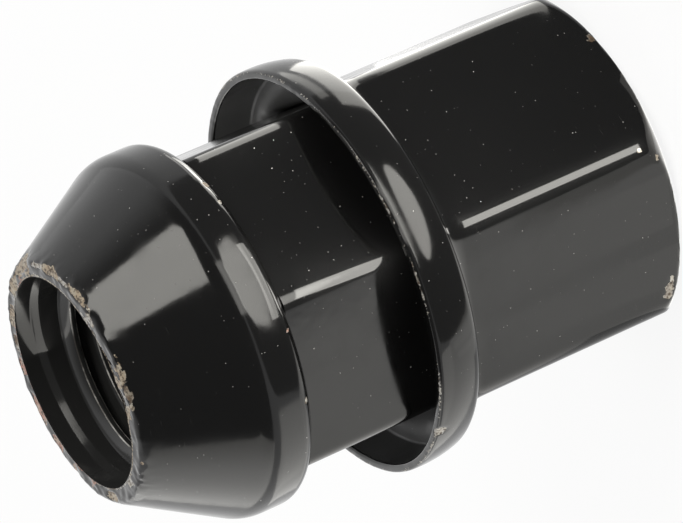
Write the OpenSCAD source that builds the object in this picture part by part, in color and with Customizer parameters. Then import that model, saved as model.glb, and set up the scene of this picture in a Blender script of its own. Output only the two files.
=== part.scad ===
// Capped lug nut: a threaded steel core with a conical seat, a collar and a hex shank,
// and a drawn sheet-steel cap that is pressed over the shank and flares into a round skirt.
// It stands on the closed end of its cap, with its axis on Z and its nose up.

/* [Stud thread] */
// Nominal diameter of the wheel stud
stud_d = 14; // [10:0.5:18]
// Pitch of the stud's thread
thread_pitch = 1.5; // [1:0.25:2]
// Depth of the smooth lead-in at the nose
lead_in_depth = 3.2; // [1:0.1:8]
// How much wider the lead-in is than the stud
lead_in_clearance = 0.1; // [0.05:0.05:0.6]
// Width of the chamfer at the mouth of the lead-in
mouth_chamfer = 0.2; // [0.05:0.05:0.6]

/* [Seat and collar] */
// Width of the flat ring at the nose, between the mouth and the seat
nose_land = 1; // [0.4:0.1:3]
// Full angle of the conical seat
seat_angle = 60; // [45:1:80]
// Diameter of the collar behind the seat
collar_d = 24.85; // [22:0.05:30]
// Length of the collar, from the edge of the seat to its back
collar_length = 3.2; // [2.4:0.1:8]
// Radius of the round between seat and collar
seat_round = 3; // [0.5:0.1:4]
// Radius of the round at the back of the collar
collar_round = 1; // [0.2:0.1:1.2]

/* [Hex] */
// Width of the cap's hex across its flats, the size of the wrench
wrench_size = 22; // [18:0.5:27]
// Radius of the cap's hex corners
hex_corner_r = 1.6; // [1:0.1:3]
// Length of the core's hex in view between collar and skirt
waist_length = 8.2; // [4:0.1:14]

/* [Cap] */
// Thickness of the cap's sheet
sheet = 0.55; // [0.3:0.05:0.7]
// Gap between the core's flats and the cap
cap_gap = 0.03; // [0.01:0.01:0.1]
// Length of the cap's hex, from its closed end to the back of the skirt
cap_hex_length = 17.35; // [10:0.05:30]
// Radius of the round at the cap's closed end
end_round = 3; // [1.5:0.1:5]

/* [Skirt] */
// How far the skirt's rim stands out past the hex corners
skirt_overhang = 1.47; // [1.3:0.01:4]
// Depth of the skirt, from its rim to its back
skirt_depth = 3.45; // [2:0.05:6]
// Radius of the crown along the skirt's wall
skirt_crown = 8; // [5:0.5:20]
// Inward lean of the wall at the rim, in degrees
rim_lean = 6; // [0:0.5:10]
// Radius of the skirt's shoulder
skirt_shoulder = 0.8; // [0.75:0.05:1.2]
// Radius of the round in which the hex flats flare into the skirt's back
root_round = 1.3; // [0.5:0.1:1.6]

/* [Hidden] */
$fn = 96;
paint = [0.06, 0.06, 0.06];
// Steps along a rounded stretch of a turned outline
arc_steps = 8;
// Length by which a cut runs past the face it opens
cut_over = 1;
sides = 6;
// Share of the pitch by which an internal thread is narrower than its stud
thread_minor_share = 1.0825;

minor_r = (stud_d - thread_minor_share * thread_pitch) / 2;
lead_in_r = (stud_d + lead_in_clearance) / 2;
nose_r = lead_in_r + mouth_chamfer + nose_land;
collar_r = collar_d / 2;
seat_half_angle = seat_angle / 2;
seat_length = (collar_r - nose_r) / tan(seat_half_angle);

// Heights above the closed end
skirt_back_z = cap_hex_length;
rim_z = skirt_back_z + skirt_depth;
collar_back_z = rim_z + waist_length;
seat_z = collar_back_z + collar_length;
nose_z = seat_z + seat_length;
lead_in_z = nose_z - lead_in_depth;

core_af = wrench_size - 2 * (sheet + cap_gap);
core_corner_r = hex_corner_r - sheet - cap_gap;

// Radius at which the flat closed end turns into its round
end_flat_r = sharp_corner(wrench_size) - end_round;

// Centres of the arcs in the skirt's outline
rim_r = corner_reach(wrench_size, hex_corner_r) + skirt_overhang;
crown_c = [rim_r - skirt_crown * cos(rim_lean), rim_z - skirt_crown * sin(rim_lean)];
shoulder_z = skirt_back_z + skirt_shoulder;
shoulder_lean = asin((crown_c.y - shoulder_z) / (skirt_crown - skirt_shoulder));
shoulder_c = [crown_c.x + (skirt_crown - skirt_shoulder) * cos(shoulder_lean), shoulder_z];
root_c = [wrench_size / 2 + root_round, skirt_back_z - root_round];

// Distance from the axis to a sharp hex corner, to a round corner's arc centre, and to that corner
function sharp_corner(af) = af / 2 / cos(180 / sides);
function corner_centre(af, corner_r) = sharp_corner(af - 2 * corner_r);
function corner_reach(af, corner_r) = corner_centre(af, corner_r) + corner_r;

// Points along an arc of an outline
function arc(centre, r, from, to) = [
    for (i = [0 : arc_steps])
        let (a = from + (to - from) * i / arc_steps)
        centre + r * [cos(a), sin(a)]
];

// Hexagon with rounded corners, one of them on +X
module hexagon(af, corner_r) {
    half_corner = 180 / sides;
    centre_r = corner_centre(af, corner_r);
    polygon([
        for (i = [0 : sides - 1], side = [-1, 1])
            let (turn = i * 360 / sides, edge = turn + side * half_corner)
            centre_r * [cos(turn), sin(turn)] + corner_r * [cos(edge), sin(edge)]
    ]);
    for (i = [0 : sides - 1])
        rotate(i * 360 / sides) translate([centre_r, 0]) circle(corner_r);
}

// Turned head: seat, collar and the rounds between them
module head() {
    back_round_c = [collar_r - collar_round, collar_back_z + collar_round];
    seat_round_c = [collar_r - seat_round, seat_z - seat_round * tan(seat_half_angle / 2)];
    rotate_extrude() polygon(concat(
        [[0, nose_z], [0, collar_back_z]],
        arc(back_round_c, collar_round, -90, 0),
        arc(seat_round_c, seat_round, 0, seat_half_angle),
        [[nose_r, nose_z]]
    ));
}

// Hex shank, chamfered at its end to clear the round inside the cap
module shank() {
    reach = corner_reach(core_af, core_corner_r);
    end_r = end_flat_r - cap_gap;
    intersection() {
        translate([0, 0, sheet])
            linear_extrude(collar_back_z + collar_round - sheet) hexagon(core_af, core_corner_r);
        rotate_extrude() polygon([
            [0, sheet],
            [end_r, sheet],
            [reach + cut_over, sheet + reach + cut_over - end_r],
            [reach + cut_over, nose_z],
            [0, nose_z]
        ]);
    }
}

// Space for the stud: thread at its minor diameter, lead-in and chamfered mouth
module stud_space() {
    mouth_r = lead_in_r + mouth_chamfer;
    rotate_extrude() polygon([
        [0, sheet - cut_over],
        [minor_r, sheet - cut_over],
        [minor_r, lead_in_z - (lead_in_r - minor_r)],
        [lead_in_r, lead_in_z],
        [lead_in_r, nose_z - mouth_chamfer],
        [mouth_r, nose_z],
        [mouth_r, nose_z + cut_over],
        [0, nose_z + cut_over]
    ]);
}

module nut_core() {
    color(paint) difference() {
        union() {
            head();
            shank();
        }
        stud_space();
    }
}

// Turned skirt and the round at its root, drawn at a distance inside its outer face;
// over extends it past its rim
module skirt_form(inset, over) {
    rim_edge = crown_c + (skirt_crown - inset) * [cos(rim_lean), sin(rim_lean)];
    rotate_extrude() polygon(concat(
        [[0, rim_z + over], [0, root_c.y]],
        arc(root_c, root_round + inset, 180, 90),
        arc(shoulder_c, skirt_shoulder - inset, -90, -shoulder_lean),
        arc(crown_c, skirt_crown - inset, -shoulder_lean, rim_lean),
        [[rim_edge.x, rim_z + over]]
    ));
}

// Solid form of the cap, drawn at a distance inside its outer face
module cap_form(inset, over) {
    af = wrench_size - 2 * inset;
    corner_r = hex_corner_r - inset;
    end_c = [end_flat_r, end_round];
    intersection() {
        translate([0, 0, inset]) linear_extrude(rim_z - inset) hexagon(af, corner_r);
        rotate_extrude() polygon(concat(
            [[0, rim_z], [0, inset]],
            arc(end_c, end_round - inset, -90, 0),
            [[end_c.x + end_round - inset, rim_z]]
        ));
    }
    skirt_form(inset, over);
}

module cap() {
    color(paint) difference() {
        cap_form(0, 0);
        cap_form(sheet, cut_over);
    }
}

nut_core();
cap();
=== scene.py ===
"""Dresses the capped lug nut: its threaded core, its drawn cap, and the studio they stand in."""

from __future__ import annotations

import logging
import math
from dataclasses import dataclass, field
from enum import Enum

import bmesh
import bpy
from mathutils import Matrix, Vector, noise


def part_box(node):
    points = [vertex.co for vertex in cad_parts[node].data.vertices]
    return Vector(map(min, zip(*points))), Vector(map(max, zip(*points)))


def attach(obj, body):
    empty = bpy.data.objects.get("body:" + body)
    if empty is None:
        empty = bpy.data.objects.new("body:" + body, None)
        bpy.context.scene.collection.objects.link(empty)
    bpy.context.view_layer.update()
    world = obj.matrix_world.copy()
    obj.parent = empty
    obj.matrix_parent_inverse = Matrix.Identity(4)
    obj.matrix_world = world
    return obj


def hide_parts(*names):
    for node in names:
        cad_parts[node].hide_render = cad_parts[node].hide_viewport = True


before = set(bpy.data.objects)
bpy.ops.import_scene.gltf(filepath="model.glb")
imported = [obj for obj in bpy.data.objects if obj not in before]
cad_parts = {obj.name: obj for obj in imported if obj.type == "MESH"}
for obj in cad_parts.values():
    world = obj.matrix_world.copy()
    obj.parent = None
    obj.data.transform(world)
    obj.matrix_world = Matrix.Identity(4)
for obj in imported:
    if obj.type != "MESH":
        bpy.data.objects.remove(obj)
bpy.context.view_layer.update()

LOG = logging.getLogger("lug_nut")
MM = 0.001
BODY = "root"
PHOTO_WIDTH = 683
SIDES = 6
HALF_SIDE = math.pi / SIDES
# Angle from which an edge is sharp, and angle from which it belongs to the thread's cut ends
SHARP = math.radians(40)
END_CORNER = math.radians(75)
WARM = (1.0, 0.98, 0.92)
WHITE = (1.0, 1.0, 1.0, 1.0)
# Distances within which a mesh's points are joined, in mm
WELD = 1e-5
THREAD_WELD = 1e-4
# Steps along the stretches of the core's outline
LIP_STEPS = 4
EDGE_STEPS = 8
ROUND_STEPS = 10
THROAT_STEPS = 12
SEAT_STEPS = 30
# Steps along the stretches of the cap's outline
RIM_STEPS = 5
FLAT_STEPS = 5
SHOULDER_STEPS = 8
FLARE_STEPS = 12
CROWN_STEPS = 14
WALL_STEPS = 16
END_STEPS = 18

Point = tuple[float, float]
Place = tuple[float, float, float]
Colour = tuple[float, float, float]
Mesh = bmesh.types.BMesh
Socket = bpy.types.NodeSocket


class Section(Enum):
    """How a ring of an outline is pressed once it has been turned."""

    ROUND = "round"
    CLAMPED = "clamped"
    BLENDED = "blended"


@dataclass(frozen=True)
class Hexagon:
    """A hexagon with rounded corners, one of them on +X.

    Attributes:
        across_flats: Width across the flats, in mm.
        corner_r: Radius of the corners, in mm.
    """

    across_flats: float
    corner_r: float

    def inset(self, depth: float) -> Hexagon:
        """Returns the hexagon that lies a depth inside this one."""
        return Hexagon(self.across_flats - 2 * depth, self.corner_r - depth)

    def sharp_corner(self) -> float:
        """Returns the distance from the axis to a corner without its round."""
        return self.across_flats / 2 / math.cos(HALF_SIDE)

    def radius(self, angle: float) -> float:
        """Finds how far the outline lies from the axis.

        Args:
            angle: Direction from the axis, in radians.

        Returns:
            The distance in mm.
        """
        turn = 2 * math.pi / SIDES
        off = abs((angle + turn / 2) % turn - turn / 2)
        centre = (self.across_flats / 2 - self.corner_r) / math.cos(HALF_SIDE)
        tangent_y = self.corner_r * math.sin(HALF_SIDE)
        tangent_x = centre + self.corner_r * math.cos(HALF_SIDE)
        if off < math.atan2(tangent_y, tangent_x):
            side = centre * math.sin(off)
            return centre * math.cos(off) + math.sqrt(self.corner_r**2 - side**2)
        return self.across_flats / 2 / math.cos(turn / 2 - off)


@dataclass(frozen=True)
class Ring:
    """One point of an outline, which becomes a ring when the outline is turned.

    Attributes:
        r: Radius of the round ring, in mm.
        z: Height, in mm.
        section: How the ring is pressed.
        hexagon: The hexagon that it is pressed to.
        share: Share of the hexagon in a blended ring.
    """

    r: float
    z: float
    section: Section = Section.ROUND
    hexagon: Hexagon | None = None
    share: float = 0.0

    def radius(self, angle: float, soft: float = 0.12) -> float:
        """Finds the pressed ring's radius.

        Args:
            angle: Direction from the axis, in radians.
            soft: Width over which a clamped ring rounds into its hexagon, in mm.

        Returns:
            The radius in mm.
        """
        if self.section is Section.ROUND or self.hexagon is None:
            return self.r
        flat = self.hexagon.radius(angle)
        if self.section is Section.BLENDED:
            return self.r + (flat - self.r) * self.share
        near = max(soft - abs(self.r - flat), 0.0) / soft
        return min(self.r, flat) - near * near * soft / 4


def arc(centre: Point, r: float, start: float, end: float, steps: int) -> list[Point]:
    """Lists points along an arc of an outline, with its angles in degrees from straight out."""
    angles = [math.radians(start + (end - start) * i / steps) for i in range(steps + 1)]
    return [(centre[0] + r * math.cos(a), centre[1] + r * math.sin(a)) for a in angles]


def between(start: Point, end: Point, steps: int) -> list[Point]:
    """Lists the points between two points of an outline, without those two."""
    a, b = Vector(start), Vector(end)
    return [tuple(a.lerp(b, i / steps)) for i in range(1, steps)]


def copied(bm: Mesh, geom: list) -> list[bmesh.types.BMVert]:
    """Copies a stretch of a mesh and returns the copy's points."""
    made = bmesh.ops.duplicate(bm, geom=geom)["geom"]
    return [item for item in made if isinstance(item, bmesh.types.BMVert)]


@dataclass
class Turning:
    """Turns an outline about Z and presses its hex stretches.

    Attributes:
        rings: The outline.
        closed: Whether the outline's ends join.
        steps: Number of steps round the axis.
        crowding: How much the steps crowd towards the hex corners.
    """

    rings: list[Ring]
    closed: bool
    steps: int = 360
    crowding: float = 0.6

    def spread(self, angle: float) -> float:
        """Moves an angle towards the nearest hex corner."""
        return angle - self.crowding / SIDES * math.sin(SIDES * angle)

    def mesh(self) -> Mesh:
        """Builds the turned and pressed mesh.

        Returns:
            The mesh in mm, with its rings numbered in the vertex layer "ring".
        """
        bm = bmesh.new()
        number = bm.verts.layers.int.new("ring")
        line = []
        for index, ring in enumerate(self.rings):
            vert = bm.verts.new((ring.r, 0.0, ring.z))
            vert[number] = index
            line.append(vert)
        pairs = list(zip(line, line[1:]))
        if self.closed:
            pairs.append((line[-1], line[0]))
        for pair in pairs:
            bm.edges.new(pair)
        bmesh.ops.spin(
            bm,
            geom=bm.verts[:] + bm.edges[:],
            cent=(0, 0, 0),
            axis=(0, 0, 1),
            angle=2 * math.pi / SIDES,
            steps=self.steps // SIDES,
        )
        sector = bm.verts[:] + bm.edges[:] + bm.faces[:]
        for side in range(1, SIDES):
            turn = Matrix.Rotation(2 * math.pi * side / SIDES, 3, "Z")
            bmesh.ops.rotate(bm, cent=(0, 0, 0), matrix=turn, verts=copied(bm, sector))
        for vert in bm.verts:
            ring = self.rings[vert[number]]
            angle = self.spread(math.atan2(vert.co.y, vert.co.x))
            r = ring.radius(angle)
            vert.co = (r * math.cos(angle), r * math.sin(angle), ring.z)
        bmesh.ops.remove_doubles(bm, verts=bm.verts, dist=WELD)
        bmesh.ops.recalc_face_normals(bm, faces=bm.faces)
        return bm


class Tone(Enum):
    """Colour of the metal that shows where paint has gone."""

    SILVER = (0.36, 0.35, 0.33)
    TAN = (0.30, 0.24, 0.17)
    COPPER = (0.34, 0.18, 0.14)
    GREY = (0.2, 0.18, 0.16)
    BROWN = (0.12, 0.08, 0.05)


@dataclass(frozen=True)
class Chip:
    """A place where the paint is chipped, or stands up in a run.

    Attributes:
        at: Its centre, in mm.
        size: Its radius, in mm.
        tone: The metal that shows, or None where the paint stays whole.
        depth: How deep it is, in mm; a run of paint is less than zero.
        stretch: How many times longer it is along its length than across.
        along: Direction of its length, or None where that is round the axis.
        reach: How many radii from its centre it is looked for.
        grain: Scale of its ragged edge, in cells per mm.
        ragged: How far its edge strays, as a share of the radius.
        fade: Shares of the radius between which it fades out, outer one first.
    """

    at: Place
    size: float
    tone: Tone | None = None
    depth: float = 0.04
    stretch: float = 1.0
    along: Place | None = None
    reach: float = 2.0
    grain: float = 2.5
    ragged: float = 0.35
    fade: Point = (1.15, 0.75)

    def apply(self, bm: Mesh) -> None:
        """Dents the mesh and marks the bare metal.

        Args:
            bm: The mesh in mm, with its wear layers.
        """
        bare, tone = bm.verts.layers.float["bare"], bm.verts.layers.float_color["tone"]
        centre = Vector(self.at)
        length = Vector(self.along or (-centre.y, centre.x, 0.0)).normalized()
        for vert in bm.verts:
            off = vert.co - centre
            off -= length * off.dot(length) * (1 - 1 / self.stretch)
            if off.length > self.reach * self.size:
                continue
            edge = off.length / self.size + self.ragged * noise.noise(vert.co * self.grain)
            share = ease(*self.fade, edge)
            vert.co -= vert.normal * self.depth * share
            if self.tone is not None and share > vert[bare]:
                vert[bare] = share
                vert[tone] = (*self.tone.value, 1.0)


def ease(start: float, end: float, value: float) -> float:
    """Rises smoothly from 0 to 1 as a value goes from start to end."""
    t = min(max((value - start) / (end - start), 0.0), 1.0)
    return t * t * (3 - 2 * t)


def layered(spot: Vector, coarse: float, fine: float, share: float, seed: Place = (0.0, 0.0, 0.0)) -> float:
    """Adds a share of a fine noise to a coarse one, with their scales in cells per mm."""
    return noise.noise(spot * coarse + Vector(seed)) + share * noise.noise(spot * fine)


def add_wear_layers(bm: Mesh) -> None:
    """Adds the layers that hold bare metal and its colour."""
    bm.verts.layers.float.new("bare")
    tone = bm.verts.layers.float_color.new("tone")
    for vert in bm.verts:
        vert[tone] = (*Tone.SILVER.value, 1.0)


def show(name: str, data: bpy.types.ID) -> bpy.types.Object:
    """Makes an object and puts it in the scene."""
    made = bpy.data.objects.new(name, data)
    bpy.context.scene.collection.objects.link(made)
    return made


def solid(bm: Mesh, name: str) -> bpy.types.Object:
    """Makes an object of a mesh, which is freed."""
    data = bpy.data.meshes.new(name)
    bm.to_mesh(data)
    bm.free()
    return show(name, data)


def place(bm: Mesh, name: str, slot: str, nodes: tuple[str, ...]) -> bpy.types.Object:
    """Makes a piece of a finished mesh and fastens it to the frame.

    Args:
        bm: The mesh in mm. It is freed.
        name: Name of the piece.
        slot: Material slot in the record; not used.
        nodes: CAD nodes that the piece stands for.

    Returns:
        The piece.
    """
    bm.normal_update()
    for face in bm.faces:
        face.smooth = True
    for edge in bm.edges:
        edge.smooth = edge.calc_face_angle(0.0) < SHARP
    bmesh.ops.scale(bm, vec=(MM, MM, MM), verts=bm.verts)
    piece = solid(bm, name)
    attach(piece, BODY)
    if nodes:
        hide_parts(*nodes)
    LOG.info("%s: %d faces", name, len(piece.data.polygons))
    return piece


@dataclass(frozen=True)
class NoseWear:
    """How the nose ring is knocked about and stripped of paint.

    Attributes:
        edge_band: Depths between which the ring's edge sets in, in mm.
        rub_band: Depths between which the rubbed paint sets in, in mm.
        dent: Depth that the whole edge has lost, in mm.
        knock: Depth of the knocks in the edge, in mm.
        knock_noise: Coarse scale, fine scale and fine share of the knocks.
        ripple: Depth of the ripples in the rubbed paint, in mm.
        ripple_noise: The same three values of the ripples.
        patch_band: Noise between which a patch of the edge is bare.
        patch_bare: How bare such a patch is.
        patch_noise: The same three values of the patches.
        patch_seed: Place in the noise where the patches start.
        mouth_band: Distances from the bore's wall between which the mouth's edge sets in, in mm.
        mouth_bare: How bare the mouth's edge is.
        rub_bare: How bare the rubbed paint is.
        hue_scale: Scale of the metal's colours, in cells per mm.
        hue_seed: Place in the noise where they start.
        copper_band: Distances along X between which the metal turns to copper, in mm.
        copper_above: Sum from which the metal is copper.
        tan_above: Noise from which it is tan.
        margin: Distance from the bore's wall up to which nothing is changed, in mm.
    """

    edge_band: Point = (0.5, 0.08)
    rub_band: Point = (1.5, 0.4)
    dent: float = 0.05
    knock: float = 0.07
    knock_noise: Place = (0.9, 2.3, 0.6)
    ripple: float = 0.018
    ripple_noise: Place = (1.8, 4.1, 0.5)
    patch_band: Point = (0.25, 0.6)
    patch_bare: float = 0.7
    patch_noise: Place = (0.55, 1.9, 0.7)
    patch_seed: Place = (3.0, 7.0, 1.0)
    mouth_band: Point = (0.36, 0.24)
    mouth_bare: float = 0.7
    rub_bare: float = 0.12
    hue_scale: float = 0.8
    hue_seed: Place = (9.0, 2.0, 5.0)
    copper_band: Point = (0.0, -4.0)
    copper_above: float = 0.75
    tan_above: float = -0.1
    margin: float = 0.02

    def apply(self, bm: Mesh, nose_z: float, bore_r: float, throat_r: float) -> None:
        """Makes the nose ring's edges ragged and strips paint from them.

        Args:
            bm: The core's mesh in mm, with its wear layers.
            nose_z: Height of the nose ring, in mm.
            bore_r: Radius of the smooth lead-in, in mm.
            throat_r: Radius of the bore's mouth, in mm.
        """
        bare, tone = bm.verts.layers.float["bare"], bm.verts.layers.float_color["tone"]
        for vert in bm.verts:
            near = ease(*self.edge_band, nose_z - vert.co.z)
            rub = ease(*self.rub_band, nose_z - vert.co.z)
            if rub == 0.0 or vert.co.xy.length < throat_r + self.margin:
                continue
            spot = vert.co.copy()
            loss = self.dent + self.knock * layered(spot, *self.knock_noise)
            ripple = self.ripple * layered(spot, *self.ripple_noise)
            vert.co -= vert.normal * (near * loss + rub * ripple)
            patch = ease(*self.patch_band, layered(spot, *self.patch_noise, self.patch_seed))
            mouth = ease(*(bore_r + off for off in self.mouth_band), spot.xy.length)
            worn = max(self.patch_bare * patch, self.mouth_bare * mouth)
            vert[bare] = max(near * worn, self.rub_bare * rub)
            vert[tone] = (*self.metal(spot).value, 1.0)

    def metal(self, spot: Vector) -> Tone:
        """Picks the metal that shows at a place on the nose."""
        hue = noise.noise(spot * self.hue_scale + Vector(self.hue_seed))
        if hue + ease(*self.copper_band, spot.x) > self.copper_above:
            return Tone.COPPER
        return Tone.TAN if hue > self.tan_above else Tone.SILVER


@dataclass
class Core:
    """The threaded core: seat, collar, hex shank and bore.

    Attributes:
        hexagon: Outline of the shank.
        bore_r: Radius of the bore at the thread's roots, in mm.
        lead_in_r: Radius of the smooth lead-in, in mm.
        lead_in_depth: Depth of the lead-in, in mm.
        mouth_chamfer: Width of the chamfer at the mouth, in mm.
        nose_r: Outer radius of the nose ring, in mm.
        nose_round: Radius of the nose ring's outer edge, in mm.
        throat_step: How much wider the mouth is than the lead-in behind it, in mm.
        throat_top: Depth at which the mouth starts to narrow, in mm.
        throat_bottom: Depth at which it has narrowed to the lead-in, in mm.
        seat_half_angle: Slope of the seat from the axis, in degrees.
        seat_round: Radius between seat and collar, in mm.
        collar_length: Length of the collar, in mm.
        collar_round: Radius at the collar's back, in mm.
        end_r: Radius of the flat end inside the cap, in mm.
        pitch: Pitch of the thread, in mm.
        minor_r: Radius of the thread at its crests, in mm.
        thread_start: Depth of the thread's first crest, in mm.
        thread_turn: Direction in which the thread starts, in degrees from +X.
        run_in: Share of a turn over which the thread rises to its full height.
        run_in_start: Share of its height that the thread starts with.
        root_share: Half the width of the thread's root, as a share of the pitch.
        crest_share: Half the width of the thread's crest, as a share of the pitch.
        crest_wear_glint_width: Width of the light steel strip along the thread's crests, partly bare metal
            and partly a painted highlight, in mm.
        neck: Drop in which the collar's back turns into the hex, in mm.
        shank_drops: Drops below the collar's back at which the shank has a ring, in mm.
        end_chamfer: Height in which the shank narrows to its end, in mm.
        margin: Distance within which a point counts as lying on a wall, in mm.
        nose_wear: How the nose is worn.
        chips: Chips in its paint.
    """

    hexagon: Hexagon = Hexagon(20.84, 1.02)
    bore_r: float = 7.0
    lead_in_r: float = 7.05
    lead_in_depth: float = 3.2
    mouth_chamfer: float = 0.2
    nose_r: float = 8.25
    nose_round: float = 0.45
    throat_step: float = 0.16
    throat_top: float = 1.15
    throat_bottom: float = 1.69
    seat_half_angle: float = 30.0
    seat_round: float = 3.0
    collar_length: float = 3.2
    collar_round: float = 1.0
    end_r: float = 9.67
    pitch: float = 1.5
    minor_r: float = 6.19
    thread_start: float = 3.06
    thread_turn: float = 290.0
    run_in: float = 0.12
    run_in_start: float = 0.1
    root_share: float = 7 / 16
    crest_share: float = 1 / 8
    crest_wear_glint_width: float = 0.05
    neck: float = 0.05
    shank_drops: range = range(1, 27, 2)
    end_chamfer: float = 2.4
    margin: float = 0.01
    nose_wear: NoseWear = NoseWear()
    chips: tuple[Chip, ...] = (
        Chip((12.14, -1.62, 29.44), 0.16, Tone.COPPER),
        Chip((10.61, -6.17, 29.47), 0.13, Tone.SILVER),
        Chip((8.68, 8.62, 29.41), 0.3, Tone.BROWN),
        Chip((9.92, 7.22, 29.48), 0.16, Tone.SILVER),
        Chip((-1.2, 8.3, 39.2), 0.85, Tone.TAN, 0.18, 1.8),
        Chip((3.7, 7.2, 39.42), 0.34, Tone.TAN, 0.06, 3.5),
        Chip((6.2, 5.4, 39.4), 0.28, Tone.TAN, 0.06, 4.0),
        Chip((5.0, 6.35, 39.42), 0.2, Tone.SILVER, 0.05, 4.0),
        Chip((1.9, 7.8, 39.42), 0.22, Tone.SILVER, 0.05, 3.5),
        Chip((-3.4, 7.0, 39.42), 0.5, Tone.TAN, 0.07, 2.2),
        Chip((8.2, -0.2, 39.4), 0.3, Tone.TAN, 0.06, 2.2),
        Chip((8.1, -1.5, 39.38), 0.28, Tone.BROWN, 0.06, 2.0),
        Chip((-5.7, 5.1, 39.43), 0.42, Tone.TAN, 0.07, 2.4),
        Chip((-6.7, 3.5, 39.43), 0.3, Tone.BROWN, 0.06, 1.6),
        Chip((-7.45, 1.8, 39.43), 0.42, Tone.COPPER, 0.06, 1.6),
        Chip((-7.6, -1.2, 39.43), 0.42, Tone.COPPER, 0.06, 2.8),
        Chip((-6.8, -3.7, 39.43), 0.44, Tone.COPPER, 0.06, 1.6),
        Chip((-1.4, -7.7, 39.42), 0.4, Tone.TAN, 0.08, 2.0),
    )
    end_z: float = field(init=False)
    nose_z: float = field(init=False)
    collar_r: float = field(init=False)

    def __post_init__(self) -> None:
        """Takes the heights and the collar's radius from the frame."""
        low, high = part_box("nut_core")
        self.end_z = low.z / MM
        self.nose_z = high.z / MM
        self.collar_r = high.x / MM

    def seat_z(self) -> float:
        """Returns the height at which the seat would meet the collar."""
        slope = math.tan(math.radians(self.seat_half_angle))
        return self.nose_z - (self.collar_r - self.nose_r) / slope

    def throat_r(self) -> float:
        """Returns the radius of the bore's mouth."""
        return self.lead_in_r + self.throat_step

    def outline(self) -> list[Ring]:
        """Lists the core's outline, up the bore and down the outside.

        Returns:
            The rings in order.
        """
        half = math.radians(self.seat_half_angle)
        seat_z = self.seat_z()
        back_z = seat_z - self.collar_length
        mouth_r = self.lead_in_r + self.mouth_chamfer
        lead_z = self.nose_z - self.lead_in_depth
        nose_in = self.nose_round * math.tan((math.pi / 2 - half) / 2)
        nose_c = (self.nose_r - nose_in, self.nose_z - self.nose_round)
        seat_c = (self.collar_r - self.seat_round, seat_z - self.seat_round * math.tan(half / 2))
        back_c = (self.collar_r - self.collar_round, back_z + self.collar_round)
        narrow = (self.lead_in_r, self.nose_z - self.throat_bottom)
        wide = (self.throat_r(), self.nose_z - self.throat_top)
        lip = mouth_r - self.throat_r()
        nose_edge = arc(nose_c, self.nose_round, 90, self.seat_half_angle, EDGE_STEPS)
        seat_edge = arc(seat_c, self.seat_round, self.seat_half_angle, 0, ROUND_STEPS)
        points = [
            (self.bore_r, self.end_z),
            (self.bore_r, lead_z - (self.lead_in_r - self.bore_r)),
            (self.lead_in_r, lead_z),
            *between((self.lead_in_r, lead_z), narrow, THROAT_STEPS),
            narrow,
            *between(narrow, wide, THROAT_STEPS),
            wide,
            *between(wide, (self.throat_r(), self.nose_z - lip), THROAT_STEPS),
            *arc((mouth_r, self.nose_z - lip), lip, 180, 90, LIP_STEPS),
            *between((mouth_r, self.nose_z), nose_edge[0], EDGE_STEPS),
            *nose_edge,
            *between(nose_edge[-1], seat_edge[0], SEAT_STEPS),
            *seat_edge,
            *arc(back_c, self.collar_round, 0, -90, ROUND_STEPS),
        ]
        rings = [Ring(r, z) for r, z in points]
        drops = [0.0, self.neck, *self.shank_drops]
        waist = [*(back_z - drop for drop in drops), self.end_z + self.end_chamfer]
        rings += [Ring(self.collar_r, z, Section.CLAMPED, self.hexagon) for z in waist]
        rings.append(Ring(self.end_r, self.end_z))
        return rings

    def build(self, paint: Enamel, lining: Enamel, steel: Steel) -> None:
        """Builds the core and its thread, and dresses them.

        Args:
            paint: Finish of the core's outside.
            lining: Finish of the bore and the thread.
            steel: Finish of the thread's crest strips, partly worn steel and partly a painted highlight.
        """
        inner = lining.material()
        bm = Turning(self.outline(), True).mesh()
        add_wear_layers(bm)
        bm.normal_update()
        self.nose_wear.apply(bm, self.nose_z, self.lead_in_r, self.throat_r())
        for chip in self.chips:
            chip.apply(bm)
        for face in bm.faces:
            if face.calc_center_median().xy.length < self.throat_r() + self.margin:
                face.material_index = 1
        body = place(bm, "core_body", "core_paint", ("nut_core",))
        body.data.materials.append(paint.material())
        body.data.materials.append(inner)
        bm = self.thread()
        add_wear_layers(bm)
        thread = place(bm, "stud_thread", "core_paint", ())
        thread.data.materials.append(inner)
        thread.data.materials.append(steel.material())

    def thread(self, steps: int = 96, bury: float = 0.08) -> Mesh:
        """Winds the thread's ridge along the bore.

        Args:
            steps: Steps in each turn.
            bury: Depth by which the ridge's root lies in the bore's wall, in mm.

        Returns:
            The ridge as a closed mesh in mm.
        """
        top = self.nose_z - self.thread_start
        turns = int((top - self.end_z - self.pitch) / self.pitch)
        root_r = self.bore_r + bury
        root = self.pitch * self.root_share
        crest = self.pitch * self.crest_share
        section = [(root_r, -root), (self.minor_r, -crest), (self.minor_r, crest), (root_r, root)]
        bm = bmesh.new()
        corners = [bm.verts.new((r, 0.0, top + dz)) for r, dz in section]
        for index, corner in enumerate(corners):
            bm.edges.new((corner, corners[index - 1]))
        bmesh.ops.spin(
            bm,
            geom=bm.verts[:] + bm.edges[:],
            cent=(0, 0, 0),
            axis=(0, 0, 1),
            dvec=(0, 0, -self.pitch / steps),
            angle=-2 * math.pi,
            steps=steps,
        )
        first = bm.verts[:] + bm.edges[:] + bm.faces[:]
        for count in range(1, turns):
            bmesh.ops.translate(bm, vec=(0, 0, -self.pitch * count), verts=copied(bm, first))
        bmesh.ops.remove_doubles(bm, verts=bm.verts, dist=THREAD_WELD)
        bmesh.ops.holes_fill(bm, edges=[edge for edge in bm.edges if edge.is_boundary], sides=4)
        bmesh.ops.recalc_face_normals(bm, faces=bm.faces)
        crest_r = self.minor_r + self.margin
        inner = [edge for edge in bm.edges if max(vert.co.xy.length for vert in edge.verts) < crest_r]
        crests = [edge for edge in inner if SHARP < edge.calc_face_angle(0.0) < END_CORNER]
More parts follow.
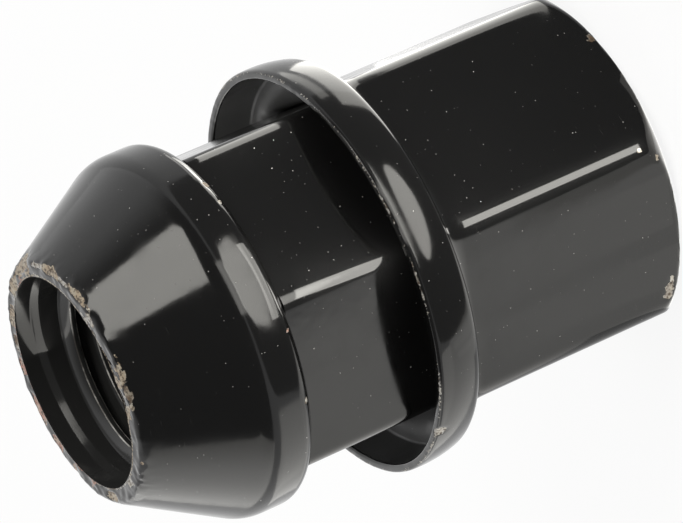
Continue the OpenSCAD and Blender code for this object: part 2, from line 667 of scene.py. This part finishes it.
        # The crest edges are bevelled into strips of light steel: partly worn metal, partly a painted
        # highlight that stands for the thread's glints.
        worn = bmesh.ops.bevel(
            bm, geom=crests, affect="EDGES", offset=self.crest_wear_glint_width, segments=1, profile=0.5, material=-1
        )
        for face in worn["faces"]:
            face.material_index = 1
        for vert in bm.verts:
            share = -math.atan2(vert.co.y, vert.co.x) / (2 * math.pi) % 1.0
            if share < self.run_in and abs(vert.co.z - top + self.pitch * share) < self.pitch / 2:
                r = vert.co.xy.length
                rise = self.run_in_start + (1 - self.run_in_start) * share / self.run_in
                vert.co.xy *= (root_r + (r - root_r) * rise) / r
        turn = Matrix.Rotation(math.radians(self.thread_turn), 3, "Z")
        bmesh.ops.rotate(bm, cent=(0, 0, 0), matrix=turn, verts=bm.verts)
        return bm


@dataclass(frozen=True)
class SheetWear:
    """The drawn wall's slight waves, and the wear of the skirt's rim.

    Attributes:
        wave: Depth of the waves, in mm.
        wave_scale: Scale of the waves along each axis, in cells per mm.
        ripple: Share of finer ripples in the waves.
        ripple_scale: Scale of those ripples, in cells per mm.
        skin: Depth under the flats to which the outer face reaches, in mm.
        top_band: Depths below the rim between which its wear sets in, in mm.
        side_band: Distances inside the skirt between which it sets in, in mm.
        bare: How bare the rim is.
        uneven: How much that varies round the rim.
        uneven_scale: Scale of that variation, in cells per mm.
        nick: Depth of the nicks in the rim, in mm.
        nick_scale: Scale of the nicks, in cells per mm.
    """

    wave: float = 0.016
    wave_scale: Place = (0.45, 0.45, 0.05)
    ripple: float = 0.3
    ripple_scale: float = 0.5
    skin: float = 0.05
    top_band: Point = (0.16, 0.04)
    side_band: Point = (0.32, 0.16)
    bare: float = 0.42
    uneven: float = 0.3
    uneven_scale: float = 0.35
    nick: float = 0.02
    nick_scale: float = 1.7

    def apply(self, bm: Mesh, cap: Cap) -> None:
        """Waves the wall and wears the rim.

        Args:
            bm: The cap's mesh in mm, with its wear layers.
            cap: The cap.
        """
        bare = bm.verts.layers.float["bare"]
        for vert in bm.verts:
            spot = vert.co.copy()
            outside = spot.xy.length > cap.hexagon.across_flats / 2 - self.skin
            if outside and cap.end_round < spot.z < cap.skirt_back_z():
                long = spot * Vector(self.wave_scale)
                fine = self.ripple * noise.noise(spot * self.ripple_scale)
                vert.co += vert.normal * self.wave * (noise.noise(long) + fine)
            edge = ease(*self.top_band, cap.rim_z - spot.z)
            if edge > 0.0:
                worn = self.bare + self.uneven * noise.noise(spot * self.uneven_scale)
                vert[bare] = edge * ease(*self.side_band, cap.skirt_r - spot.xy.length) * worn
                vert.co -= vert.normal * self.nick * edge * noise.noise(spot * self.nick_scale)


@dataclass
class Cap:
    """The drawn cap: closed end, hex and flared skirt.

    Attributes:
        hexagon: Outline of the hex.
        sheet: Thickness of the sheet, in mm.
        end_round: Radius at the closed end, in mm.
        skirt_depth: Depth of the skirt, in mm.
        crown: Radius along the skirt's wall, in mm.
        rim_lean: Inward lean of the wall at the rim, in degrees.
        shoulder: Radius of the skirt's shoulder, in mm.
        root: Length over which the hex flares into the skirt's back, in mm.
        rim_round: Radius of the rim's edges, in mm.
        wear: How the sheet is worn.
        chips: Chips and runs in its paint.
    """

    hexagon: Hexagon = Hexagon(22.0, 1.6)
    sheet: float = 0.55
    end_round: float = 3.0
    skirt_depth: float = 3.45
    crown: float = 8.0
    rim_lean: float = 6.0
    shoulder: float = 0.8
    root: float = 1.3
    rim_round: float = 0.16
    wear: SheetWear = SheetWear()
    chips: tuple[Chip, ...] = (
        Chip((8.47, 7.34, 0.66), 0.3, Tone.BROWN),
        Chip((12.04, -1.04, 1.23), 0.2, Tone.TAN, 0.06),
        Chip((12.44, -0.19, 2.46), 0.16, Tone.GREY, 0.03),
        Chip((7.1, -9.75, 1.6), 0.3, Tone.GREY, 0.06, 2.6, (-0.7, -1.2, 0.57)),
        Chip((7.5, -9.05, 1.3), 0.2, Tone.SILVER, 0.04, 1.5, (-0.7, -1.2, 0.57)),
        Chip((6.25, -10.77, 14.08), 0.3, None, -0.16),
        Chip((7.5, -11.75, 20.55), 0.42, Tone.SILVER, 0.06),
    )
    rim_z: float = field(init=False)
    skirt_r: float = field(init=False)

    def __post_init__(self) -> None:
        """Takes the rim's height and the skirt's radius from the frame."""
        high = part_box("cap")[1]
        self.rim_z = high.z / MM
        self.skirt_r = high.x / MM

    def skirt_back_z(self) -> float:
        """Returns the height of the skirt's back."""
        return self.rim_z - self.skirt_depth

    def crown_centre(self) -> Point:
        """Returns the centre of the arc along the skirt's wall."""
        drop = self.crown * math.sin(math.radians(self.rim_lean))
        return self.skirt_r - self.crown, self.rim_z - drop

    def shoulder_centre(self) -> tuple[Point, float]:
        """Finds where the shoulder's arc meets the crown's.

        Returns:
            The shoulder's centre, and the lean at which the two arcs meet, in degrees.
        """
        x, z = self.crown_centre()
        centre_z = self.skirt_back_z() + self.shoulder
        reach = self.crown - self.shoulder
        lean = math.asin((z - centre_z) / reach)
        return (x + reach * math.cos(lean), centre_z), math.degrees(lean)

    def end_rings(self, inset: float) -> list[Ring]:
        """Lists the closed end, from the axis to the hex.

        Args:
            inset: Depth inside the outer face, in mm.

        Returns:
            The rings in order.
        """
        shape = self.hexagon.inset(inset)
        centre = (self.hexagon.sharp_corner() - self.end_round, self.end_round)
        edge = arc(centre, self.end_round - inset, -90, 0, END_STEPS)
        flat = [(0.0, inset), *between((0.0, inset), edge[0], FLAT_STEPS)]
        return [Ring(r, z) for r, z in flat] + [Ring(r, z, Section.CLAMPED, shape) for r, z in edge]

    def wall_rings(self, inset: float) -> list[Ring]:
        """Lists the hex wall and the flare at its root, from the end to the skirt.

        Args:
            inset: Depth inside the outer face, in mm.

        Returns:
            The rings in order.
        """
        shape = self.hexagon.inset(inset)
        outer_r = self.hexagon.sharp_corner()
        skirt_r = self.shoulder_centre()[0][0]
        root_z = self.skirt_back_z() - self.root
        rise = self.root + inset
        tall = root_z - self.end_round
        rings = []
        for step in range(1, WALL_STEPS):
            z = self.end_round + tall * step / WALL_STEPS
            rings.append(Ring(outer_r, z, Section.BLENDED, shape, 1.0))
        for step in range(FLARE_STEPS + 1):
            turn = math.pi / 2 * step / FLARE_STEPS
            z = root_z + rise * math.sin(turn)
            rings.append(Ring(skirt_r, z, Section.BLENDED, shape, math.cos(turn)))
        return rings

    def skirt_rings(self, inset: float) -> list[Ring]:
        """Lists the skirt's shoulder and wall, up to the rim.

        Args:
            inset: Depth inside the outer face, in mm.

        Returns:
            The rings in order.
        """
        shoulder_c, lean = self.shoulder_centre()
        points = arc(shoulder_c, self.shoulder - inset, -90, -lean, SHOULDER_STEPS)[1:]
        points += arc(self.crown_centre(), self.crown - inset, -lean, self.rim_lean, CROWN_STEPS)[1:-1]
        return [Ring(r, z) for r, z in points]

    def rim_rings(self) -> list[Ring]:
        """Lists the rim's rounded edge, from the outside in."""
        r = self.crown_centre()[0] + self.crown * math.cos(math.radians(self.rim_lean))
        z = self.rim_z - self.rim_round
        outer = arc((r - self.rim_round, z), self.rim_round, 0, 90, RIM_STEPS)
        inner = arc((r - self.sheet + self.rim_round, z), self.rim_round, 90, 180, RIM_STEPS)
        return [Ring(*point) for point in outer + inner]

    def build(self, paint: Enamel, lining: Enamel) -> None:
        """Builds the cap and dresses it.

        Args:
            paint: Finish of the cap's outside.
            lining: Finish of its inside; its lighter grey is painted light that brightens the cup.
        """
        outer = self.end_rings(0.0) + self.wall_rings(0.0) + self.skirt_rings(0.0)
        inner = self.end_rings(self.sheet) + self.wall_rings(self.sheet) + self.skirt_rings(self.sheet)
        rings = outer + self.rim_rings() + inner[::-1]
        bm = Turning(rings, False).mesh()
        number = bm.verts.layers.int["ring"]
        for face in bm.faces:
            if min(vert[number] for vert in face.verts) >= len(rings) - len(inner):
                face.material_index = 1
        add_wear_layers(bm)
        bm.normal_update()
        self.wear.apply(bm, self)
        for chip in self.chips:
            chip.apply(bm)
        piece = place(bm, "cap_shell", "cap_paint", ("cap",))
        piece.data.materials.append(paint.material())
        piece.data.materials.append(lining.material())


class Nodes:
    """Shorthand for building a material's nodes."""

    def __init__(self, name: str) -> None:
        """Makes a material with a principled shader.

        Args:
            name: Name of the material.
        """
        self.material = bpy.data.materials.new(name)
        self.material.use_nodes = True
        self.tree = self.material.node_tree
        self.shader = self.tree.nodes["Principled BSDF"]

    def add(
        self, kind: str, inputs: dict[str | int, object], output: str | int = 0, **settings: object
    ) -> Socket:
        """Adds a node.

        Args:
            kind: Type of the node.
            inputs: Values or sockets by input.
            output: The output that is wanted.
            settings: Settings of the node.

        Returns:
            That output.
        """
        node = self.tree.nodes.new(kind)
        for key, value in settings.items():
            setattr(node, key, value)
        for key, value in inputs.items():
            self.feed(node.inputs[key], value)
        return node.outputs[output]

    def feed(self, socket: Socket, value: object) -> None:
        """Links a socket to another, or sets its value."""
        if isinstance(value, Socket):
            self.tree.links.new(value, socket)
        else:
            socket.default_value = value

    def dress(self, inputs: dict[str, object]) -> None:
        """Feeds inputs of the shader."""
        for key, value in inputs.items():
            self.feed(self.shader.inputs[key], value)

    def math(self, operation: str, a: object, b: object = 0.0) -> Socket:
        """Adds a sum, product or comparison."""
        return self.add("ShaderNodeMath", {0: a, 1: b}, operation=operation)

    def noise(self, place: Socket, scale: float, detail: float = 2.0) -> Socket:
        """Adds a noise of a scale in cells per mm."""
        return self.add("ShaderNodeTexNoise", {"Vector": place, "Scale": scale, "Detail": detail}, "Fac")

    def ramp(self, value: object, low: float, high: float, start: float = 0.0, end: float = 1.0) -> Socket:
        """Maps a range smoothly onto another."""
        ends = {"Value": value, "From Min": low, "From Max": high, "To Min": start, "To Max": end}
        return self.add("ShaderNodeMapRange", ends, interpolation_type="SMOOTHSTEP")

    def mix(self, share: object, a: object, b: object) -> Socket:
        """Mixes two colours."""
        return self.add("ShaderNodeMix", {0: share, 6: a, 7: b}, 2, data_type="RGBA")

    def blend(self, share: object, a: object, b: object) -> Socket:
        """Mixes two numbers."""
        return self.add("ShaderNodeMix", {0: share, 2: a, 3: b}, 0, data_type="FLOAT")

    def place(self, stretch: Place = (1.0, 1.0, 1.0)) -> Socket:
        """Gives the place on the piece in mm, stretched along its axes."""
        spot = self.add("ShaderNodeTexCoord", {}, "Object")
        return self.add("ShaderNodeMapping", {"Vector": spot, "Scale": tuple(k / MM for k in stretch)})


@dataclass(frozen=True)
class Enamel:
    """Thick gloss paint with orange peel, dust and fine scratches, gone to bare metal where it is worn.

    Attributes:
        name: Name of the material.
        colour: Colour of the paint.
        gloss: Roughness of the clean paint.
        peel: Depth of the orange peel, in mm.
        dust: Share of the dust specks that show.
        dust_colour: Colour of the dust.
        pale_metal: Colour of the paler streaks in bare metal.
        pits: Colour of the pits in bare metal.
        ior: Index of refraction of the paint.
        dull: Roughness of dust and of bare metal.
        metallic: How metallic the bare metal is.
        haze: How many times rougher the paint is where it is hazy.
        scuff_colour: Share of the dust's colour in a scuff.
        scuff_dull: Share of the dust's roughness in a scuff.
        grain_scale: Scale of the bare metal's grain, in cells per mm.
        streak_scale: Scale of its streaks, in cells per mm.
        haze_scale: Scale of the haze, in cells per mm.
        speck_scale: Number of places for a speck in a mm.
        speck_height: Height of a speck, as a share of the peel's depth.
        edge_scale: Scale of the bare metal's ragged edge, in cells per mm.
        edge_stray: How far that edge strays.
        peel_scales: Scales of the coarse and the fine orange peel, in cells per mm.
        fine_peel: Share of the fine orange peel.
    """

    name: str
    colour: Colour = (0.0035, 0.0035, 0.0035)
    gloss: float = 0.09
    peel: float = 0.004
    dust: float = 0.24
    dust_colour: Colour = (0.5, 0.49, 0.47)
    pale_metal: Colour = (0.38, 0.35, 0.29)
    pits: Colour = (0.07, 0.05, 0.035)
    ior: float = 1.4
    dull: float = 0.5
    metallic: float = 0.4
    haze: float = 1.7
    scuff_colour: float = 0.02
    scuff_dull: float = 0.25
    grain_scale: float = 5.0
    streak_scale: float = 1.6
    haze_scale: float = 0.35
    speck_scale: float = 3.2
    speck_height: float = 2.0
    edge_scale: float = 4.5
    edge_stray: float = 1.1
    peel_scales: Point = (0.9, 3.2)
    fine_peel: float = 0.22

    def material(self) -> bpy.types.Material:
        """Makes the material."""
        nodes = Nodes(self.name)
        place = nodes.place()
        speck = self.specks(nodes, place)
        scuff = self.scuffs(nodes)
        bare = self.bare(nodes, place)
        tone = nodes.add("ShaderNodeAttribute", {}, "Color", attribute_name="tone")
        grain = nodes.noise(place, self.grain_scale, 4.0)
        streak = nodes.ramp(nodes.noise(place, self.streak_scale, 3.0), 0.42, 0.62, 0.0, 0.6)
        metal = nodes.mix(streak, tone, (*self.pale_metal, 1.0))
        metal = nodes.mix(nodes.ramp(grain, 0.36, 0.56), (*self.pits, 1.0), metal)
        grey = nodes.math("MAXIMUM", speck, nodes.math("MULTIPLY", scuff, self.scuff_colour))
        dusty = nodes.mix(grey, (*self.colour, 1.0), (*self.dust_colour, 1.0))
        film = nodes.noise(place, self.haze_scale, 3.0)
        haze = nodes.ramp(film, 0.35, 0.7, self.gloss, self.gloss * self.haze)
        matt = nodes.math("MAXIMUM", speck, nodes.math("MULTIPLY", scuff, self.scuff_dull))
        rough = nodes.blend(matt, haze, self.dull)
        nodes.dress(
            {
                "Base Color": nodes.mix(bare, dusty, metal),
                "Roughness": nodes.blend(bare, rough, self.dull),
                "Metallic": nodes.math("MULTIPLY", bare, self.metallic),
                "IOR": self.ior,
                "Normal": self.relief(nodes, place, bare, speck, grain),
            }
        )
        return nodes.material

    def specks(self, nodes: Nodes, place: Socket) -> Socket:
        """Scatters specks of dust.

        Args:
            nodes: The material's nodes.
            place: Place on the piece, in mm.

        Returns:
            A mask.
        """
        cell = nodes.tree.nodes.new("ShaderNodeTexVoronoi")
        nodes.feed(cell.inputs["Vector"], place)
        cell.inputs["Scale"].default_value = self.speck_scale
        near = nodes.ramp(cell.outputs["Distance"], 0.15, 0.05)
        lots = nodes.tree.nodes.new("ShaderNodeSeparateColor")
        nodes.feed(lots.inputs["Color"], cell.outputs["Color"])
        pale = nodes.math("POWER", lots.outputs["Green"], 3.0)
        shown = nodes.math("MULTIPLY", nodes.math("LESS_THAN", lots.outputs["Red"], self.dust), pale)
        return nodes.math("MULTIPLY", near, shown)

    def scuffs(self, nodes: Nodes) -> Socket:
        """Draws fine scratches in a few patches.

        Args:
            nodes: The material's nodes.

        Returns:
            A mask.
        """
        lines = nodes.noise(nodes.place((1.0, 0.25, 6.0)), 1.5, 3.0)
        patches = nodes.noise(nodes.place(), 0.16, 1.0)
        return nodes.math("MULTIPLY", nodes.ramp(lines, 0.66, 0.74), nodes.ramp(patches, 0.52, 0.66))

    def bare(self, nodes: Nodes, place: Socket) -> Socket:
        """Breaks up the edge of the bare metal.

        Args:
            nodes: The material's nodes.
            place: Place on the piece, in mm.

        Returns:
            A mask.
        """
        worn = nodes.add("ShaderNodeAttribute", {}, "Fac", attribute_name="bare")
        stray = nodes.math("SUBTRACT", nodes.noise(place, self.edge_scale, 4.0), 0.5)
        ragged = nodes.math("ADD", worn, nodes.math("MULTIPLY", stray, self.edge_stray))
        return nodes.math("MULTIPLY", nodes.ramp(ragged, 0.42, 0.58), nodes.math("GREATER_THAN", worn, 0.02))

    def relief(self, nodes: Nodes, place: Socket, bare: Socket, speck: Socket, grain: Socket) -> Socket:
        """Adds orange peel, and grain where the metal is bare.

        Args:
            nodes: The material's nodes.
            place: Place on the piece, in mm.
            bare: Mask of the bare metal.
            speck: Mask of the dust.
            grain: Grain of the metal.

        Returns:
            The bumped normal.
        """
        coarse, fine = self.peel_scales
        dimples = nodes.math("MULTIPLY", nodes.noise(place, fine, 2.0), self.fine_peel)
        peel = nodes.math("ADD", nodes.noise(place, coarse, 1.0), dimples)
        height = nodes.blend(bare, peel, grain)
        height = nodes.math("ADD", height, nodes.math("MULTIPLY", speck, self.speck_height))
        return nodes.add("ShaderNodeBump", {"Height": height, "Distance": self.peel * MM, "Strength": 1.0})


@dataclass(frozen=True)
class Steel:
    """Bare steel, rubbed by studs; on the thread's crests its light grey also stands for their glints, a
    painted highlight.

    Attributes:
        name: Name of the material.
        colour: Colour of the clean steel.
        stain: Colour of the stains on it.
        metallic: How metallic it is.
    """

    name: str
    colour: Colour = (0.5, 0.49, 0.47)
    stain: Colour = (0.05, 0.045, 0.04)
    metallic: float = 0.3

    def material(self) -> bpy.types.Material:
        """Makes the material."""
        nodes = Nodes(self.name)
        place = nodes.place()
        rub = nodes.ramp(nodes.noise(place, 0.6, 4.0), 0.4, 0.62)
        nodes.dress(
            {
                "Base Color": nodes.mix(rub, (*self.stain, 1.0), (*self.colour, 1.0)),
                "Roughness": nodes.ramp(nodes.noise(place, 3.0), 0.3, 0.7, 0.3, 0.5),
                "Metallic": self.metallic,
            }
        )
        return nodes.material


def direction(azimuth: float, elevation: float = 0.0) -> Vector:
    """Returns the way that an azimuth and an elevation in degrees point."""
    az, el = math.radians(azimuth), math.radians(elevation)
    return Vector((math.cos(el) * math.cos(az), math.cos(el) * math.sin(az), math.sin(el)))


def stand(at: Vector, back: Vector, across: Vector) -> Matrix:
    """Places a camera or a lamp at a point in mm, from its back and its right hand."""
    turn = Matrix((across, back.cross(across), back)).transposed().to_4x4()
    return Matrix.Translation(at * MM) @ turn


@dataclass(frozen=True)
class Lens:
    """The camera, which sees the nut as the photograph does.

    Attributes:
        aim: Point that it looks at, in mm.
        distance: Distance from that point, in mm.
        azimuth: Direction from the nut's axis, in degrees from +X.
        elevation: Height above the horizon, in degrees.
        roll: Turn about the line of sight, in degrees.
        focal_px: Focal length in the photograph's pixels.
        sensor: Width of the camera's sensor, in mm.
        clip: Nearest and farthest that it sees, in m.
    """

    aim: Place = (-0.79, 0.12, 18.8)
    distance: float = 354.5
    azimuth: float = 3.77
    elevation: float = 23.285
    roll: float = -113.78
    focal_px: float = 5477.4
    sensor: float = 36.0
    clip: Point = (0.01, 100.0)

    def build(self) -> None:
        """Makes the camera and looks through it."""
        back = direction(self.azimuth, self.elevation)
        level = direction(self.azimuth + 90.0)
        roll = math.radians(self.roll)
        across = level * math.cos(roll) + back.cross(level) * math.sin(roll)
        data = bpy.data.cameras.new("camera")
        data.sensor_width = self.sensor
        data.lens = self.sensor * self.focal_px / PHOTO_WIDTH
        data.clip_start, data.clip_end = self.clip
        camera = show("camera", data)
        camera.matrix_world = stand(Vector(self.aim) + back * self.distance, back, across)
        bpy.context.scene.camera = camera


class Face(Enum):
    """Shape of a lamp's face, and the share of its box that it fills."""

    RECTANGLE = 1.0
    ELLIPSE = math.pi / 4


@dataclass(frozen=True)
class Lamp:
    """A flat lamp, which the camera doesn't see.

    Attributes:
        name: Name of the lamp.
        at: Its centre, in mm.
        azimuth: Direction that it faces, in degrees from +X.
        elevation: How far up it faces, in degrees.
        size: Its width, and its length along the direction that it faces or upwards, in mm.
        radiance: Brightness of its face.
        shape: Shape of its face.
        roll: How far its right end is raised, as the nut sees it, in degrees.
    """

    name: str
    at: Place
    azimuth: float
    elevation: float
    size: Point
    radiance: float
    shape: Face = Face.RECTANGLE
    roll: float = 0.0

    def build(self) -> None:
        """Makes the lamp."""
        back = -direction(self.azimuth, self.elevation)
        level = direction(self.azimuth + 90.0)
        roll = math.radians(self.roll)
        across = level * math.cos(roll) - back.cross(level) * math.sin(roll)
        data = bpy.data.lights.new(self.name, "AREA")
        data.shape = self.shape.name
        data.size, data.size_y = (length * MM for length in self.size)
        data.energy = self.radiance * math.pi * data.size * data.size_y * self.shape.value
        data.color = WARM
        lamp = show(self.name, data)
        lamp.matrix_world = stand(Vector(self.at), back, across)
        lamp.visible_camera = False


def facing(
    name: str,
    azimuth: float,
    elevation: float,
    distance: float,
    size: Point,
    radiance: float,
    roll: float = 0.0,
    height: float = 30.0,
) -> Lamp:
    """Places a lamp that faces the nut.

    Args:
        name: Name of the lamp.
        azimuth: Direction from the nut, in degrees from +X.
        elevation: Height above the horizon, in degrees.
        distance: Distance from the nut, in mm.
        size: Width and height, in mm.
        radiance: Brightness of its face.
        roll: How far its right end is raised, in degrees.
        height: Height of the point that it faces, in mm.

    Returns:
        The lamp.
    """
    at = Vector((0.0, 0.0, height)) + direction(azimuth, elevation) * distance
    return Lamp(name, tuple(at), azimuth + 180.0, -elevation, size, radiance, roll=roll)


def pad(name: str, at: Point, azimuth: float, size: Point, radiance: float, height: float = 0.3) -> Lamp:
    """Lays a lamp on the floor, facing up; its height, in mm, differs where lamps overlap."""
    return Lamp(name, (*at, height), azimuth, 90.0, size, radiance)


@dataclass(frozen=True)
class Studio:
    """The pale floor, the even light of the room, and the lamps.

    Attributes:
        floor_half: Half the floor's width, in m.
        mat_at: Centre of the dark mat that the paint's gloss sees before the nut, in mm.
        mat_r: Radius of that mat, in mm.
        mat_height: Height of that mat above the floor, in mm.
        mat_sides: Number of the mat's sides.
        mat_colour: Grey of the mat.
        mat_glow: Brightness of the mat.
        paper_colour: Grey of the floor's paper.
        paper_rough: Roughness of the paper.
        paper_glow: Share of plain white in the paper that the camera and the gloss see.
        front: Brightness of the room on the camera's side.
        behind: Brightness of the room on the far side.
        fade: Directions along X between which the one turns into the other.
        lamps: The lamps.
    """

    floor_half: float = 3.0
    mat_at: Point = (197.3, 74.1)
    mat_r: float = 200.0
    mat_height: float = 0.1
    mat_sides: int = 96
    mat_colour: float = 0.02
    mat_glow: float = 0.22
    paper_colour: float = 0.85
    paper_rough: float = 0.9
    paper_glow: float = 0.88
    front: float = 0.2
    behind: float = 1.3
    fade: Point = (0.3, -0.25)
    lamps: tuple[Lamp, ...] = (
        facing("main_box", 52.0, 36.0, 600.0, (385.0, 190.0), 8.0, 30.0),
        facing("front_strip", 16.5, -4.0, 150.0, (86.0, 42.0), 3.8),
        facing("low_wall", -112.0, 13.0, 700.0, (950.0, 380.0), 1.2),
        Lamp("cap_strip", (13.0, 0.0, 8.85), 180.0, 0.0, (0.75, 13.5), 12.5),
        Lamp("waist_strip", (13.0, 0.2, 24.35), 180.0, 0.0, (2.4, 6.2), 11.5, roll=14.3),
        Lamp("edge_strip", (6.17, 11.87, 24.5), 252.0, 0.0, (2.3, 6.0), 8.0),
        Lamp("collar_card", (12.83, 2.18, 29.27), 190.0, 0.0, (6.0, 1.12), 8.0),
        Lamp("skirt_card", (21.0, 4.2, 14.3), 196.0, 0.0, (15.0, 4.6), 8.5, Face.ELLIPSE),
        Lamp("mouth_card", (0.35, 3.5, 40.15), -136.0, -10.0, (5.2, 0.9), 5.0),
        Lamp("throat_card", (-5.5, 2.0, 38.0), 90.0, 0.0, (2.2, 0.9), 2.6),
        pad("far_pad", (114.9, 32.9), 16.0, (75.0, 100.0), 8.4),
        pad("cap_pad", (15.5, -20.3), -65.0, (13.0, 50.0), 1.05),
        pad("skirt_low_pad", (-29.3, -56.7), -65.0, (99.0, 22.0), 1.05),
        pad("waist_pad", (-4.6, -96.0), -65.0, (110.6, 70.0), 1.45),
        pad("low_band", (12.7, -18.3), -65.0, (2.4, 40.0), 0.25, 0.5),
        pad("high_band", (17.4, -18.9), -65.0, (3.2, 40.0), 0.25, 0.7),
        pad("edge_pad", (-8.0, 27.0), 0.0, (28.0, 34.0), 4.0),
        pad("skirt_pad", (-14.0, 52.0), 0.0, (12.0, 34.0), 2.2),
    )

    def build(self) -> None:
        """Makes the floor, the room's light and the lamps."""
        bm = bmesh.new()
        bmesh.ops.create_grid(bm, x_segments=1, y_segments=1, size=self.floor_half)
        self.lay(bm, "floor", self.paper())
        bm = bmesh.new()
        bmesh.ops.create_circle(bm, cap_ends=True, segments=self.mat_sides, radius=self.mat_r * MM)
        bmesh.ops.translate(bm, vec=Vector((*self.mat_at, self.mat_height)) * MM, verts=bm.verts)
        mat = self.lay(bm, "dark_mat", self.felt())
        mat.visible_camera = mat.visible_diffuse = mat.visible_shadow = False
        self.light_room()
        for lamp in self.lamps:
            lamp.build()

    def lay(self, bm: Mesh, name: str, material: bpy.types.Material) -> bpy.types.Object:
        """Makes a sheet of the stage.

        Args:
            bm: Its mesh, which is freed.
            name: Its name.
            material: Its material.

        Returns:
            The sheet.
        """
        sheet = solid(bm, name)
        sheet.data.materials.append(material)
        return sheet

    def felt(self) -> bpy.types.Material:
        """Makes the dark mat's material, which only the gloss of the paint sees."""
        nodes = Nodes("felt")
        grey = (*(self.mat_colour,) * 3, 1.0)
        nodes.dress({"Base Color": grey, "Roughness": 1.0})
        nodes.dress({"Emission Color": WHITE, "Emission Strength": self.mat_glow})
        return nodes.material

    def light_room(self) -> None:
        """Makes the room's light, which is brighter behind the nut."""
        world = bpy.data.worlds.new("room")
        bpy.context.scene.world = world
        world.use_nodes = True
        tree = world.node_tree
        way = tree.nodes.new("ShaderNodeTexCoord")
        parts = tree.nodes.new("ShaderNodeSeparateXYZ")
        fade = tree.nodes.new("ShaderNodeMapRange")
        fade.interpolation_type = "SMOOTHSTEP"
        fade.inputs["From Min"].default_value, fade.inputs["From Max"].default_value = self.fade
        fade.inputs["To Min"].default_value = self.front
        fade.inputs["To Max"].default_value = self.behind
        tree.links.new(way.outputs["Generated"], parts.inputs[0])
        tree.links.new(parts.outputs["X"], fade.inputs["Value"])
        tree.links.new(fade.outputs[0], tree.nodes["Background"].inputs["Strength"])
        tree.nodes["Background"].inputs["Color"].default_value = WHITE

    def paper(self) -> bpy.types.Material:
        """Makes the floor's material: white paper that keeps the nut's shadow."""
        nodes = Nodes("paper")
        grey = (*(self.paper_colour,) * 3, 1.0)
        nodes.dress({"Base Color": grey, "Roughness": self.paper_rough, "Specular IOR Level": 0.0})
        path = nodes.tree.nodes.new("ShaderNodeLightPath")
        seen = nodes.math("ADD", path.outputs["Is Camera Ray"], path.outputs["Is Glossy Ray"])
        seen = nodes.math("ADD", seen, path.outputs["Is Transmission Ray"])
        glow = nodes.add("ShaderNodeEmission", {"Color": WHITE, "Strength": 1.0})
        share = nodes.math("MULTIPLY", nodes.math("MINIMUM", seen, 1.0), self.paper_glow)
        shown = nodes.add("ShaderNodeMixShader", {0: share, 1: nodes.shader.outputs[0], 2: glow})
        nodes.tree.links.new(shown, nodes.tree.nodes["Material Output"].inputs["Surface"])
        return nodes.material


def main() -> None:
    """Builds the nut, the studio and the camera."""
    logging.basicConfig(level=logging.INFO, format="%(name)s %(message)s")
    bpy.context.scene.view_settings.view_transform = "Standard"
    Lens().build()
    bore = Enamel("bore_enamel", colour=(0.02, 0.02, 0.02), gloss=0.1, dust=0.04)
    # The thread's crest strips get light steel, which is partly worn metal and partly a painted highlight.
    Core().build(Enamel("core_enamel"), bore, Steel("crest_wear_and_glint"))
    # The cup's inside is the same black paint as the outside; its grey is painted light that brightens the
    # cup and its reflection in the hex.
    cup = Enamel("cup_painted_light", colour=(0.13, 0.13, 0.13), gloss=0.3)
    Cap().build(Enamel("cap_enamel"), cup)
    Studio().build()


if __name__ == "__main__":
    main()
